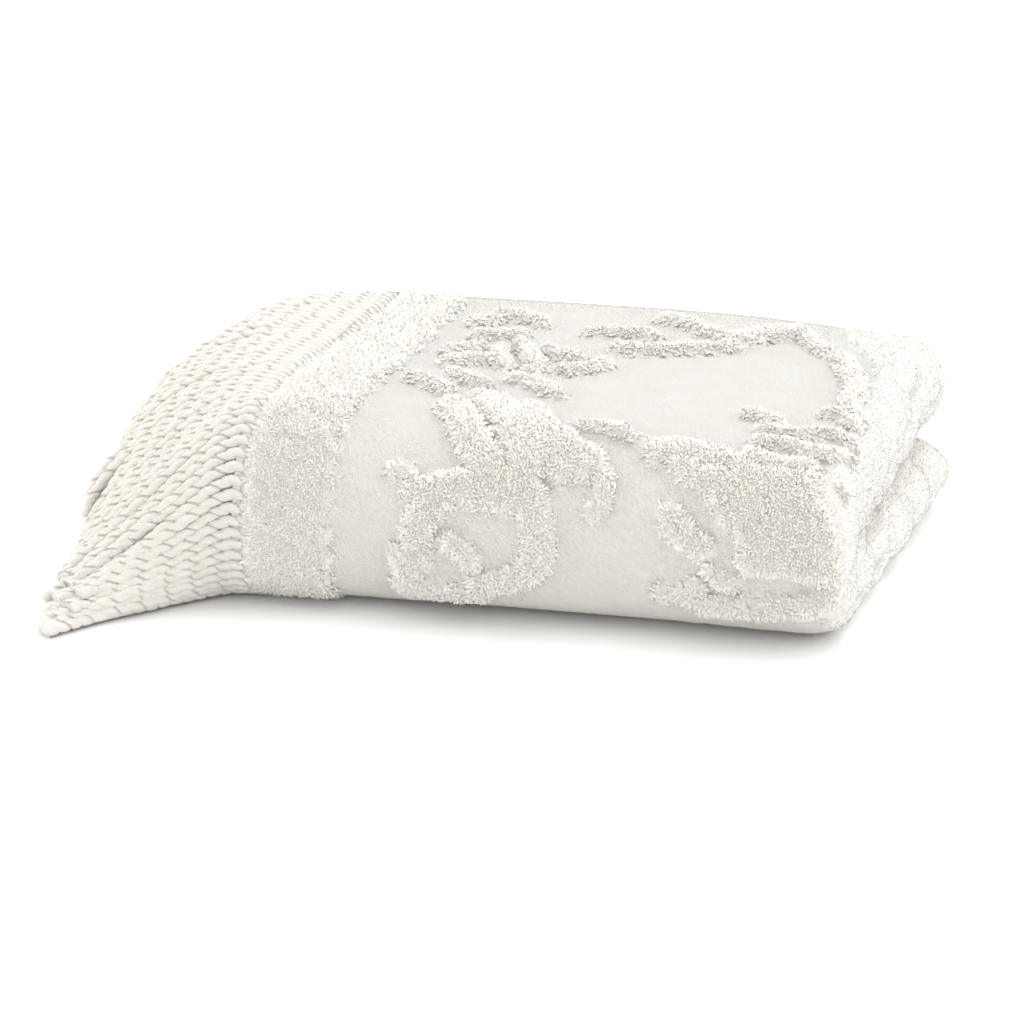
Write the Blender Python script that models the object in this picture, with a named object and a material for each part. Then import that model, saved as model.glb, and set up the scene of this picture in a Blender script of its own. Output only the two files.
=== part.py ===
"""Fringed cotton throw, folded in half four times and lying on a surface.

The throw is one woven and tufted sheet with a fringe of cords along both of
its ends. It is folded across its width, twice along its length, and across
its width once more. So one outer layer runs smoothly round the front, the two
halves of the length fold bulge at the right, and both fringes fall from the
left end to the surface, one inside the other.

+X runs along the throw away from the fringes, +Y away from the front fold and
+Z up. The origin is under the middle of the folded cloth, on the surface.
"""

from collections import namedtuple
from math import atan2, cos, exp, pi, sin, sqrt, tan

import bmesh
import bpy
from mathutils import Vector

# The sheet, in metres
WIDTH = 1.270
LENGTH = 1.524
CLOTH = 0.0045

# The folds in the order they are made, with the air left inside each
Fold = namedtuple("Fold", "along crease gap steps")
FOLDS = (
    Fold("width", WIDTH / 2, 0.0034, 3),
    Fold("length", LENGTH / 2, 0.0030, 4),
    Fold("length", LENGTH / 4, 0.0040, 6),
    Fold("width", WIDTH / 4, 0.0040, 9),
)
FLAT_STEPS = {"width": 5, "length": 3}

# The upper layers press the lower ones together by this share at the surface.
PRESS = 0.25

# How square the front fold is, at its top and where it meets the surface
FRONT_TOP = 2.0
FRONT_FOOT = 2.8

# The right end: the cleft between its two bulges fills up towards the front,
# and soft troughs run down it from the cleft.
END_START = 0.290
END_REACH = 0.110
CLEFT_FILL = 0.018
CLEFT_HALF_HEIGHT = 0.022
CLEFT_SHUT = 0.070
CLEFT_OPEN = 0.290
TROUGH_REACH = 0.042
Trough = namedtuple("Trough", "y z lean width depth")
TROUGHS = (
    Trough(0.075, 0.030, -0.5, 0.020, 0.006),
    Trough(0.150, 0.028, -0.8, 0.022, 0.006),
    Trough(0.235, 0.026, -0.6, 0.020, 0.004),
    Trough(0.262, 0.095, 0.7, 0.022, 0.005),
)

# Low swells of the upper face. Each rises or sinks over its spread.
Swell = namedtuple("Swell", "x y spread rise")
SWELLS = (
    Swell(0.020, 0.320, 0.110, -0.002),
    Swell(0.030, 0.110, 0.070, 0.004),
    Swell(0.170, 0.200, 0.090, -0.003),
    Swell(0.250, 0.080, 0.080, 0.003),
    Swell(0.330, 0.270, 0.080, -0.003),
)

# The root line slips outwards at the front fold, and the front face waves.
ROOT_SLIP = 0.004
ROOT_SLIP_DEPTH = 0.060
ROOT_SLIP_LENGTH = 0.150
FRONT_WAVE = 0.0025
FRONT_WAVE_LENGTH = 0.190
FRONT_WAVE_DEPTH = 0.060

# The fringe: cords of an even spacing, drawn out of a narrow heading strip
CORD_PITCH = 0.0108
CORD_WIDTH = 0.0064
CORD_THICK = 0.0054
FRONT_REACH = 0.108
BACK_REACH = 0.143
REACH_GROWS = 0.250
REACH_SPREAD = 0.006
HEADING = 0.006
PARTING = 0.0005
CREASE_CLEAR = 0.007
CORD_NUMBERS = 100
FRINGES = {"outer_fringe": (0, 1), "inner_fringe": (2, 3)}

# Where the cords come to rest, row over row: level under the stack, sloping
# up from a toe in front of it, then level again to the back
ROW_STEP = 0.0075
TOP_ROW = 0.063
TOE = -0.092
TOE_SHARE = -0.08
TOE_TURN = 0.013
BROW = 0.022

# How a cord leaves the cloth level, drops and ends level, by the distance from
# its root: its share of the way forward and of the fall. The cords below lie
# straight, and the bends fade in over a share of the row.
Bend = namedtuple("Bend", "distance forward fallen")
FALL = (
    Bend(0.0, 0.0, 0.0),
    Bend(0.045, 0.40, 0.10),
    Bend(0.078, 0.75, 0.50),
    Bend(0.108, 1.0, 1.0),
)
CURL_SHARE = 0.45

THROW_COLOUR = (0.83, 0.80, 0.74, 1.0)
FRINGE_COLOUR = (0.80, 0.77, 0.70, 1.0)


def smooth(t):
    """Ease from 0 to 1, flat at both ends."""
    t = min(max(t, 0.0), 1.0)
    return t * t * (3 - 2 * t)


def fold_sizes():
    """Bend radius of each fold's middle line, and the thickness it bends."""
    radii, thicks = [], [CLOTH]
    for fold in FOLDS:
        radii.append((thicks[-1] + fold.gap) / 2)
        thicks.append(2 * thicks[-1] + fold.gap)
    return radii, thicks


def reach_of(number):
    """How far the stack reaches at a fold, from the edge over against it."""
    return FOLDS[number].crease + (1 - pi / 2) * RADII[number] + THICKS[number] / 2


RADII, THICKS = fold_sizes()
STACK = THICKS[-1]
SPAN = reach_of(2)
DEPTH = reach_of(3)
FRONT_RADIUS = RADII[3]
FLAT_WIDTH = WIDTH / 4 - pi * FRONT_RADIUS / 2


def roundness(turn, fullness):
    """How far a bend's corner is pushed out, at an angle from 0 to pi."""
    if fullness is None:
        return 1.0
    top, foot = fullness
    power = top + (foot - top) * turn / pi
    return (abs(sin(turn)) ** power + abs(cos(turn)) ** power) ** (-1 / power)


def fold_under(along, off, crease, radius, fullness=None):
    """Turn what lies past the crease back underneath, round the radius."""
    start = crease - pi * radius / 2
    turn = min(max((along - start) / radius, 0.0), pi)
    run = min(along, start) - max(along - start - pi * radius, 0.0)
    arm = (radius + off) * roundness(turn, fullness)
    return run + arm * sin(turn), arm * cos(turn)


def folded(a, b, off):
    """Place a point of the flat sheet in the folded stack.

    a is the distance from one fringed end, b from one hem, and off is the
    height over the sheet's middle, on the side that ends up outside.
    """
    for fold, radius in zip(FOLDS, RADII):
        full = (FRONT_TOP, FRONT_FOOT) if fold is FOLDS[3] else None
        if fold.along == "length":
            a, off = fold_under(a, off, fold.crease, radius)
        else:
            b, off = fold_under(b, off, fold.crease, radius, full)
    z = off + STACK / 2
    return a, DEPTH - b, z - PRESS * z * (1 - z / STACK)


def end_shift(y, z):
    """How far the right end moves out, at a place on its face."""
    cleft = STACK / 2 - PRESS * STACK / 4
    fill = CLEFT_FILL * smooth(y / CLEFT_SHUT)
    fill *= 1 - smooth((y - CLEFT_SHUT) / (CLEFT_OPEN - CLEFT_SHUT))
    shift = fill * exp(-((z - cleft) / CLEFT_HALF_HEIGHT) ** 2)
    for trough in TROUGHS:
        away = (y - trough.y) + trough.lean * (z - trough.z)
        away /= sqrt(1 + trough.lean ** 2)
        reach = smooth(1 - abs(z - trough.z) / TROUGH_REACH)
        shift -= trough.depth * reach * exp(-(away / trough.width) ** 2)
    return shift


def settled(x, y, z):
    """Let a folded point settle: swells above, waves in front, a full end."""
    rise = 0.0
    for swell in SWELLS:
        away = ((x - swell.x) ** 2 + (y - swell.y) ** 2) / swell.spread ** 2
        rise += swell.rise * exp(-away)
    slip = ROOT_SLIP * exp(-(y / ROOT_SLIP_DEPTH) ** 2)
    slip *= 1 - smooth(x / ROOT_SLIP_LENGTH)
    wave = FRONT_WAVE * sin(2 * pi * x / FRONT_WAVE_LENGTH)
    shift = smooth((x - END_START) / END_REACH) * end_shift(y, z) - slip
    return Vector((
        x + shift - SPAN / 2,
        y + wave * exp(-y / FRONT_WAVE_DEPTH) * z / STACK - DEPTH / 2,
        z + rise * z / STACK,
    ))


def laid(a, b, off):
    """A point of the flat sheet, where it lies at last."""
    return settled(*folded(a, b, off))


def spaced(start, end, steps):
    """Even marks after the start, up to and with the end."""
    return [start + (end - start) * (i + 1) / steps for i in range(steps)]


def grid_lines(along, size):
    """Marks across one direction of the sheet: a few on flats, more on bends."""
    folds = [(f, r) for f, r in zip(FOLDS, RADII) if f.along == along]
    middle, quarter = sorted(folds, key=lambda pair: -pair[0].crease)
    creases = (quarter[0].crease, middle[0].crease, size - quarter[0].crease)
    marks = [0.0]
    for (fold, radius), crease in zip((quarter, middle, quarter), creases):
        bend = pi * radius / 2
        marks += spaced(marks[-1], crease - bend, FLAT_STEPS[along])
        marks += spaced(crease - bend, crease + bend, fold.steps)
    return marks + spaced(marks[-1], size, FLAT_STEPS[along])


def flat_slab(lines_a, lines_b):
    """A slab of cloth with a grid of faces on both sides, still unfolded."""
    mesh = bmesh.new()
    steps_a, steps_b = len(lines_a) - 1, len(lines_b) - 1
    bmesh.ops.create_grid(mesh, x_segments=steps_a, y_segments=steps_b, size=0.5)
    for vert in mesh.verts:
        column = round((vert.co.x + 0.5) * steps_a)
        row = round((vert.co.y + 0.5) * steps_b)
        vert.co = (lines_a[column], lines_b[row], -CLOTH / 2)
    grown = bmesh.ops.extrude_face_region(mesh, geom=mesh.faces[:], use_keep_orig=True)
    upper = [item for item in grown["geom"] if isinstance(item, bmesh.types.BMVert)]
    bmesh.ops.translate(mesh, verts=upper, vec=(0, 0, CLOTH))
    bmesh.ops.recalc_face_normals(mesh, faces=mesh.faces)
    return mesh


def lay_down(mesh):
    """Fold a flat slab. The folding mirrors it, so its faces are turned."""
    for vert in mesh.verts:
        vert.co = laid(*vert.co)
    bmesh.ops.reverse_faces(mesh, faces=mesh.faces)


def variation(number):
    """A fixed uneven value from -1 to 1 for each number."""
    return 2 * ((sin(number * 12.9898) * 43758.5453) % 1.0) - 1


class Row:
    """The cords that leave one layer of cloth, in a C round the front fold.

    Row 0 is outermost. Rows 0 and 1 belong to the end of the throw that shows,
    rows 2 and 3 to the end that lies inside it. In rows 0 and 3 the C starts
    at the hem b = 0, in rows 1 and 2 at the other hem.
    """

    def __init__(self, number):
        self.number = number
        self.from_first_hem = number in (0, 3)
        self.edge = -PARTING - HEADING
        if number > 1:
            self.edge = LENGTH + PARTING + HEADING
        inward = number * CLOTH + (number + 1) // 2 * FOLDS[0].gap
        inward += number // 2 * FOLDS[1].gap
        self.arm = FRONT_RADIUS + (THICKS[3] - CLOTH) / 2 - inward
        self.length = 2 * FLAT_WIDTH + pi * self.arm
        self.slope = atan2(TOP_ROW - CORD_THICK / 2, BROW - TOE)
        self.low = CORD_THICK / 2 + number * ROW_STEP
        self.high = TOP_ROW - number * ROW_STEP
        self.toe = TOE + number * ROW_STEP / tan(self.slope / 2)

    def ways(self):
        """Even places along the C, clear of the crease that joins two rows."""
        room = self.length - CREASE_CLEAR
        count = round(room / CORD_PITCH)
        return [(index + 0.5) * room / count for index in range(count)]

    def across(self, way):
        """The place on the flat sheet, b, of a place along the C."""
        bend = pi * self.arm
        if way < FLAT_WIDTH:
            half = way
        elif way < FLAT_WIDTH + bend:
            half = FLAT_WIDTH + (way - FLAT_WIDTH) * FRONT_RADIUS / self.arm
        else:
            half = way - bend + pi * FRONT_RADIUS
        return half if self.from_first_hem else WIDTH - half

    def resting_place(self, share):
        """Where a tip comes to rest: y from the front, height and slant.

        share runs from 1 at the upper hem over 0 in front to -1 below.
        """
        below = (TOE_SHARE - share) / (1 + TOE_SHARE)
        if below > 0:
            return self.toe + below * (DEPTH - self.toe), self.low, 0.0
        ramp = (self.high - self.low) / sin(self.slope)
        brow = self.toe + ramp * cos(self.slope)
        run = TOE_TURN + (ramp + DEPTH - brow - TOE_TURN) * (share - TOE_SHARE) / (
            1 - TOE_SHARE)
        if run > ramp:
            return brow + run - ramp, self.high, 0.0
        y = self.toe + run * cos(self.slope)
        return y, self.low + run * sin(self.slope), self.slope


def progress(x):
    """The forward and fallen shares at a distance, between two bends."""
    for start, end in zip(FALL, FALL[1:]):
        if x < end.distance:
            part = (x - start.distance) / (end.distance - start.distance)
            forward = start.forward + (end.forward - start.forward) * part
            return forward, start.fallen + (end.fallen - start.fallen) * part
    return 1.0, 1.0


class Cord:
    """One cord of a fringe: its root in the heading and its way down.

    A place along it is its distance from the heading. All cords fall alike,
    and their sections stand square to X, so that the rows stay one over the
    other without touching.
    """

    def __init__(self, row, way, number):
        self.row, self.way = row, way
        self.b = row.across(way)
        self.root = laid(row.edge, self.b, 0.0)
        onward = laid(row.edge, row.across(way + CORD_WIDTH / 4), 0.0) - self.root
        self.root_across = Vector((0, onward.y, onward.z)).normalized()
        share = 1 - 2 * way / row.length
        self.above = share > TOE_SHARE
        self.curl = smooth(1 + share / CURL_SHARE)
        tip_y, tip_z, slant = row.resting_place(share)
        facing = -1 if self.above else 1
        self.tip_across = Vector((0, facing * cos(slant), -sin(slant)))
        self.tip_y, self.tip_z = tip_y - DEPTH / 2, tip_z
        self.reach = FRONT_REACH
        self.reach += (BACK_REACH - FRONT_REACH) * smooth((tip_y - TOE) / REACH_GROWS)
        self.tip = self.reach + REACH_SPREAD * variation(number)

    def stops(self):
        """Distances at which the cord is divided. A straight one isn't."""
        bends = [bend.distance for bend in FALL[1:] if bend.distance < self.tip]
        return bends * (self.curl > 0) + [self.tip]

    def half_thick(self, x):
        """A cord starts as thin as the cloth and swells to its own size."""
        swelled = FALL[1].distance if self.above else FRONT_REACH
        thin = CLOTH * (1 - PRESS)
        return (thin + (CORD_THICK - thin) * min(x / swelled, 1.0)) / 2

    def section(self, x):
        """Centre, sideways step and outward step of the cord at a distance."""
        forward, fallen = progress(x)
        straight = min(x / self.reach, 1.0)
        forward = straight + (forward - straight) * self.curl
        fallen = straight + (fallen - straight) * self.curl
        across = self.root_across.lerp(self.tip_across, fallen).normalized()
        outward = Vector((-1, 0, 0)).cross(across) * self.half_thick(x)
        sideways = across * CORD_WIDTH / 2
        y = self.root.y + (self.tip_y - self.root.y) * forward
        z = self.root.z + (self.tip_z - self.root.z) * fallen
        z = max(z, abs(outward.z) + abs(sideways.z))
        return Vector((self.root.x - x, y, z)), sideways, outward


def cords_of(numbers):
    """All the cords of the rows with these numbers."""
    cords = []
    for number in numbers:
        row = Row(number)
        for index, way in enumerate(row.ways()):
            cords.append(Cord(row, way, number * CORD_NUMBERS + index))
    return cords


def heading_marks(cords):
    """Marks across a heading: each cord's two sides, the hems, the crease."""
    bend = pi * RADII[0] / 2
    marks = [0.0, WIDTH / 2 - bend, WIDTH]
    marks += spaced(WIDTH / 2 - bend, WIDTH / 2 + bend, FOLDS[0].steps)
    for cord in cords:
        for side in (-CORD_WIDTH / 2, CORD_WIDTH / 2):
            marks.append(cord.row.across(cord.way + side))
    return sorted(marks)


def grow_cord(mesh, face, cord):
    """Draw one cord out of its face on the heading's outer rim."""
    out = Vector((-1, 0, 0)).cross(cord.root_across)
    corners = []
    for vert in face.verts:
        offset = vert.co - cord.root
        side = 1 if offset.dot(cord.root_across) > 0 else -1
        corners.append((side, 1 if offset.dot(out) > 0 else -1))
    for x in cord.stops():
        centre, sideways, outward = cord.section(x)
        grown = bmesh.ops.extrude_discrete_faces(mesh, faces=[face])["faces"][0]
        for vert, (side, away) in zip(grown.verts, corners):
            vert.co = centre + sideways * side + outward * away
        face = grown


def make_fringe(name, numbers, material, collection):
    """A heading strip and its cords, fused at their roots."""
    cords = cords_of(numbers)
    edge = cords[0].row.edge
    parted = edge + HEADING if edge < 0 else edge - HEADING
    mesh = flat_slab(sorted((edge, parted)), heading_marks(cords))
    rim = {}
    for face in mesh.faces:
        centre = face.calc_center_median()
        if abs(centre.x - edge) < HEADING / 100:
            rim[face] = centre.y
    roots = [(min(rim, key=lambda face: abs(rim[face] - cord.b)), cord) for cord in cords]
    lay_down(mesh)
    for face, cord in roots:
        grow_cord(mesh, face, cord)
    return make_object(name, mesh, material, collection)


def make_throw(material, collection):
    """The whole sheet, one closed body that lies in its folds."""
    mesh = flat_slab(grid_lines("length", LENGTH), grid_lines("width", WIDTH))
    lay_down(mesh)
    return make_object("throw", mesh, material, collection)


def make_material(name, colour, roughness):
    material = bpy.data.materials.new(name)
    material.use_nodes = True
    shader = material.node_tree.nodes["Principled BSDF"]
    shader.inputs["Base Color"].default_value = colour
    shader.inputs["Roughness"].default_value = roughness
    shader.inputs["Metallic"].default_value = 0.0
    return material


def make_object(name, mesh, material, collection):
    data = bpy.data.meshes.new(name)
    mesh.to_mesh(data)
    mesh.free()
    data.materials.append(material)
    data.shade_smooth()
    data.set_sharp_from_angle(angle=pi / 4)
    thing = bpy.data.objects.new(name, data)
    collection.objects.link(thing)
    return thing


def clear_scene():
    for thing in list(bpy.data.objects):
        bpy.data.objects.remove(thing, do_unlink=True)


def main():
    clear_scene()
    collection = bpy.data.collections.new("fringed_throw")
    bpy.context.scene.collection.children.link(collection)
    make_throw(make_material("tufted_cotton", THROW_COLOUR, 0.95), collection)
    for name, numbers in FRINGES.items():
        material = make_material(name + "_cotton", FRINGE_COLOUR, 0.9)
        make_fringe(name, numbers, material, collection)


main()
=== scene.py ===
# %% [markdown]
# # A folded, tufted throw with a fringe of twisted cords
#
# The real throw is one sheet of warm white cotton. Its ground is a fine crepe twill, scrolls and
# leaves of soft cut pile are tufted into it, a band of the same pile borders each fringed end, and
# the fringe is made of two-ply twisted cords. It is folded in half four times and lies on a table.
#
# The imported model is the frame: it says where everything is. This lesson covers it with finer
# pieces, in the same metres and the same axes: +X away from the fringes, +Y away from the smooth
# front fold, +Z up.

# %% Load the frame
from collections import namedtuple
from math import pi, radians

import bpy
import numpy as np
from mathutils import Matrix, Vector


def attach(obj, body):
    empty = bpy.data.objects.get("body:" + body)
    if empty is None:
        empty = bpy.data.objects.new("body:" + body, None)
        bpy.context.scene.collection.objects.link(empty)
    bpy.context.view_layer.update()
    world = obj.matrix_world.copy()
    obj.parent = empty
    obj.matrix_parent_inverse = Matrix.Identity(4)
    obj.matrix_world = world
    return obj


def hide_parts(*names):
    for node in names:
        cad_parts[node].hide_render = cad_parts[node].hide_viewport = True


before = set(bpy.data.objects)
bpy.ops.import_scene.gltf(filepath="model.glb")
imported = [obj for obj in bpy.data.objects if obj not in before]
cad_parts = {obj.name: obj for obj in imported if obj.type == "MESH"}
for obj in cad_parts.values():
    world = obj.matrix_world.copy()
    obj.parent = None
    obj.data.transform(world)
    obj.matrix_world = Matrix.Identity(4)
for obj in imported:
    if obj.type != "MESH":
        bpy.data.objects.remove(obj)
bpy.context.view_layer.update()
scene = bpy.context.scene

# %% [markdown]
# ## Camera
#
# A product photo like this one is taken from a few metres away with a long lens, so that parallel
# edges stay nearly parallel. The camera is placed by an azimuth, an elevation and a distance, and
# its lens is worked out from how wide a part of the scene the picture shows.

# %% Place the camera
AZIMUTH = radians(14.5)
ELEVATION = radians(18.0)
CAMERA_DISTANCE = 3.6
SENSOR_WIDTH = 36.0
PICTURE_WIDTH = 0.666
AIM = Vector((-0.0573, -0.0202, 0.0319))


def placed(name, data):
    """A new object in the scene for a mesh, a curve, a lamp or a camera."""
    thing = bpy.data.objects.new(name, data)
    scene.collection.objects.link(thing)
    return thing


backward = Vector((
    np.sin(AZIMUTH) * np.cos(ELEVATION),
    -np.cos(AZIMUTH) * np.cos(ELEVATION),
    np.sin(ELEVATION),
))
camera_data = bpy.data.cameras.new("camera")
camera_data.sensor_width = SENSOR_WIDTH
camera_data.lens = SENSOR_WIDTH * CAMERA_DISTANCE / PICTURE_WIDTH
camera = placed("camera", camera_data)
camera.location = AIM + backward * CAMERA_DISTANCE
camera.rotation_euler = backward.to_track_quat("Z", "Y").to_euler()
scene.camera = camera
print("lens %.0f mm" % camera_data.lens)

# %% [markdown]
# ## Folding as a function
#
# Folding a sheet can be written as a function. A point past a crease turns back underneath, round
# the crease's radius, and everything else keeps its place. Four such folds, one after the other,
# carry a point of the flat sheet to its place in the stack. The same function then places the
# cloth, its pile, the headings and the roots of the cords, so they can't drift apart.

# %% Sizes of the sheet and its folds
WIDTH = 1.270
LENGTH = 1.524
CLOTH = 0.0045
Fold = namedtuple("Fold", "along crease gap")
FOLDS = (
    Fold("width", WIDTH / 2, 0.0034),
    Fold("length", LENGTH / 2, 0.0030),
    Fold("length", LENGTH / 4, 0.0040),
    Fold("width", WIDTH / 4, 0.0040),
)
PRESS = 0.25
FRONT_TOP = 2.0
FRONT_FOOT = 2.8

radii, thicks = [], [CLOTH]
for fold in FOLDS:
    radii.append((thicks[-1] + fold.gap) / 2)
    thicks.append(2 * thicks[-1] + fold.gap)
STACK = thicks[-1]
SPAN = LENGTH / 4 + (1 - pi / 2) * radii[2] + thicks[2] / 2
DEPTH = WIDTH / 4 + (1 - pi / 2) * radii[3] + thicks[3] / 2
FRONT_RADIUS = radii[3]
FRONT_ARM = radii[3] + thicks[3] / 2
print("folded: %.0f x %.0f x %.0f mm" % (SPAN * 1000, DEPTH * 1000, STACK * 1000))


# %% Fold a point of the sheet
def smooth(t):
    """Ease from 0 to 1, flat at both ends."""
    t = np.clip(t, 0.0, 1.0)
    return t * t * (3 - 2 * t)


def fold_under(along, off, crease, radius, squared):
    """Turn what lies past the crease back underneath, round the radius."""
    start = crease - pi * radius / 2
    turn = np.clip((along - start) / radius, 0.0, pi)
    run = np.minimum(along, start) - np.maximum(along - start - pi * radius, 0.0)
    arm = radius + off
    if squared:
        power = FRONT_TOP + (FRONT_FOOT - FRONT_TOP) * turn / pi
        arm = arm * (np.abs(np.sin(turn)) ** power + np.abs(np.cos(turn)) ** power) ** (-1 / power)
    return run + arm * np.sin(turn), arm * np.cos(turn)


def folded(a, b, off):
    """Places of sheet points in the stack. off is the height over the sheet's middle."""
    for fold, radius in zip(FOLDS, radii):
        if fold.along == "length":
            a, off = fold_under(a, off, fold.crease, radius, False)
        else:
            b, off = fold_under(b, off, fold.crease, radius, fold is FOLDS[3])
    z = off + STACK / 2
    return a, DEPTH - b, z - PRESS * z * (1 - z / STACK)


# %% [markdown]
# A real stack isn't a neat block. Its upper face swells and sinks a little and its front face
# waves. The right end, where the sheet turns, is full: the cleft between its two bulges is pressed
# nearly shut at the front and opens towards the back, the lower bulge is pushed out, soft troughs
# run down from the cleft, and one runs up from it. Those are added to the folded place.

# %% Let the folded stack settle
Swell = namedtuple("Swell", "x y spread rise")
SWELLS = (
    Swell(0.020, 0.320, 0.110, -0.002),
    Swell(0.030, 0.110, 0.070, 0.004),
    Swell(0.170, 0.200, 0.090, -0.003),
    Swell(0.250, 0.080, 0.080, 0.003),
    Swell(0.365, 0.300, 0.085, -0.008),
)
Trough = namedtuple("Trough", "y z lean width depth")
TROUGHS = (
    Trough(0.072, 0.034, -0.5, 0.013, 0.007),
    Trough(0.118, 0.032, -0.7, 0.011, 0.006),
    Trough(0.165, 0.030, -0.8, 0.013, 0.007),
    Trough(0.222, 0.028, -0.6, 0.014, 0.005),
    Trough(0.262, 0.095, 0.7, 0.016, 0.006),
)
TROUGH_REACH = 0.046
CLEFT_CLOSED = 0.85
CLEFT_OPENS_AT = 0.130
CLEFT_OPENS_OVER = 0.190
LOWER_BULGE = 0.007
BULGE_STARTS_AT = 0.060
BULGE_GROWS_OVER = 0.140
BULGE_HEIGHT = 0.032
BULGE_SPREAD = 0.024
END_STARTS_AT = 0.290
END_GROWS_OVER = 0.110
ROOT_SLIP = 0.004
ROOT_SLIP_DEPTH = 0.060
ROOT_SLIP_LENGTH = 0.150
FRONT_WAVE = 0.0025
FRONT_WAVE_DEPTH = 0.060
FRONT_WAVE_LENGTH = 0.190


def end_shift(y, z):
    """How far the right end moves out, at a place on its face."""
    cleft = STACK / 2 - PRESS * STACK / 4
    away = np.hypot(np.maximum(FRONT_ARM - y, 0), z - cleft)
    above = 0.5 + 0.5 * (z - cleft) / np.maximum(away, 1e-6)
    half = cleft / 2 + (STACK / 2 - cleft) * above
    inwards = 1 - np.sqrt(1 - np.clip(1 - away / half, 0, 1) ** 2)
    closed = CLEFT_CLOSED * (1 - smooth((y - CLEFT_OPENS_AT) / CLEFT_OPENS_OVER))
    shift = closed * thicks[3] / 2 * inwards
    pushed = LOWER_BULGE * smooth((y - BULGE_STARTS_AT) / BULGE_GROWS_OVER)
    shift = shift + pushed * np.exp(-((z - BULGE_HEIGHT) / BULGE_SPREAD) ** 2)
    for trough in TROUGHS:
        away = (y - trough.y) + trough.lean * (z - trough.z)
        away = away / np.sqrt(1 + trough.lean ** 2)
        reach = smooth(1 - np.abs(z - trough.z) / TROUGH_REACH)
        shift = shift - trough.depth * reach * np.exp(-(away / trough.width) ** 2)
    return shift


def laid(a, b, off):
    """Places of sheet points where they lie at last, as an array with x, y, z last."""
    a, b, off = np.broadcast_arrays(np.float64(a), np.float64(b), np.float64(off))
    x, y, z = folded(a, b, off)
    rise = sum(
        swell.rise * np.exp(-((x - swell.x) ** 2 + (y - swell.y) ** 2) / swell.spread ** 2)
        for swell in SWELLS
    )
    slip = ROOT_SLIP * np.exp(-(y / ROOT_SLIP_DEPTH) ** 2) * (1 - smooth(x / ROOT_SLIP_LENGTH))
    wave = FRONT_WAVE * np.sin(2 * pi * x / FRONT_WAVE_LENGTH) * np.exp(-y / FRONT_WAVE_DEPTH)
    shift = smooth((x - END_STARTS_AT) / END_GROWS_OVER) * end_shift(y, z) - slip
    return np.stack([
        x + shift - SPAN / 2,
        y + wave * z / STACK - DEPTH / 2,
        z + rise * z / STACK,
    ], axis=-1)


print("front of the outer layer", laid(0.2, WIDTH / 4, CLOTH / 2).round(3))

# %% [markdown]
# ## The scrolls and leaves
#
# The ornament is laid out on the outer face as strokes: each runs from one place to
# another with a bow to one side, and has a half width. Places are in millimetres. s is measured
# along the throw from its fringed end, t over the outer face from the hem at the back, down over
# the front and underneath. Because the outer face is longer round a bend than the sheet's middle,
# s and t are stretched there. Pile stands wherever a stroke lies, and falls off softly at its edge.

# %% Measure the outer face
FLAT_S = LENGTH / 4 - pi * radii[2] / 2
FLAT_T = WIDTH / 4 - pi * FRONT_RADIUS / 2
END_STRETCH = 1 + thicks[2] / 2 / radii[2]
FRONT_STRETCH = 1 + thicks[3] / 2 / FRONT_RADIUS
FRONT_FACE = pi * FRONT_RADIUS * FRONT_STRETCH


def outer_s(a):
    """Length over the outer face at a length along the sheet."""
    bend = np.clip(a - FLAT_S, 0, pi * radii[2])
    past = np.maximum(a - FLAT_S - pi * radii[2], 0)
    return np.minimum(a, FLAT_S) + bend * END_STRETCH + past


def outer_t(b):
    """Length over the outer face at a width across the sheet."""
    bend = np.clip(b - FLAT_T, 0, pi * FRONT_RADIUS)
    past = np.maximum(b - FLAT_T - pi * FRONT_RADIUS, 0)
    return np.minimum(b, FLAT_T) + bend * FRONT_STRETCH + past


print("front face is %.0f mm high over its curve" % (FRONT_FACE * 1000))

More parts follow.
